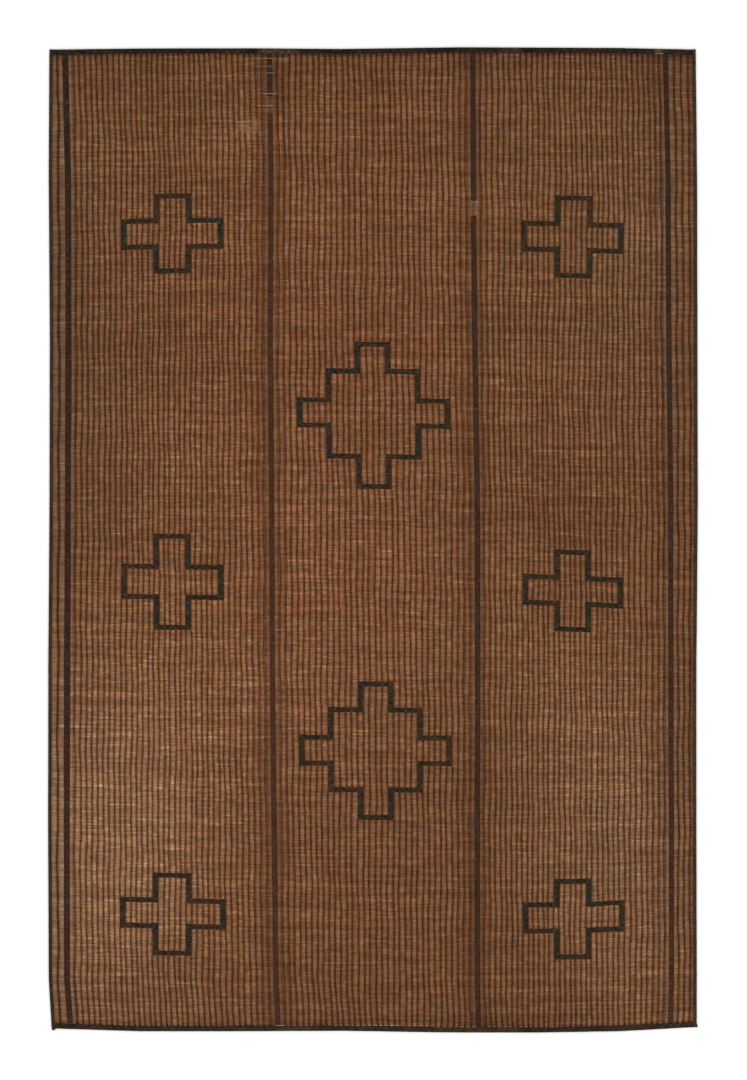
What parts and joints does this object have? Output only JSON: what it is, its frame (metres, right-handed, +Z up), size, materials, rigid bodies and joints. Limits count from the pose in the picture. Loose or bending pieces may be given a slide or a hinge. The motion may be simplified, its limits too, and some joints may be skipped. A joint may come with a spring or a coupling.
{
  "type": "tuareg mat of reeds and leather",
  "caption": "Flat rectangular floor mat woven of fine reeds and leather thongs, with wide leather bands, outlined crosses and folded leather edge bindings.",
  "frame": {"origin": "centre of the mat's outline, on the surface that it lies on", "axes": "+X across the mat, +Y along its length, +Z up"},
  "size_m": [1.856, 2.814, 0.0056],
  "materials": {
    "reed_weave": "dry split reeds, matt, tan brown with lighter and redder streaks",
    "binding_leather": "dark dyed leather, worn, low sheen",
    "band_leather": "dark dyed leather strip, low sheen",
    "motif_leather": "dark dyed leather strip, low sheen",
    "thong_leather": "narrow reddish brown leather thong, low sheen"
  },
  "bodies": {
    "root": {"reed_field": "reed_weave", "binding_left": "binding_leather", "binding_right": "binding_leather", "binding_top": "binding_leather", "binding_bottom": "binding_leather", "band_left": "band_leather", "band_inner_left_stub": "band_leather", "band_inner_left": "band_leather", "band_inner_right_stub": "band_leather", "band_inner_right": "band_leather", "band_right": "band_leather", "plus_left_top": "motif_leather", "plus_left_middle": "motif_leather", "plus_left_bottom": "motif_leather", "plus_right_top": "motif_leather", "plus_right_middle": "motif_leather", "plus_right_bottom": "motif_leather", "stepped_top": "motif_leather", "stepped_bottom": "motif_leather"}
  },
  "joints": []
}
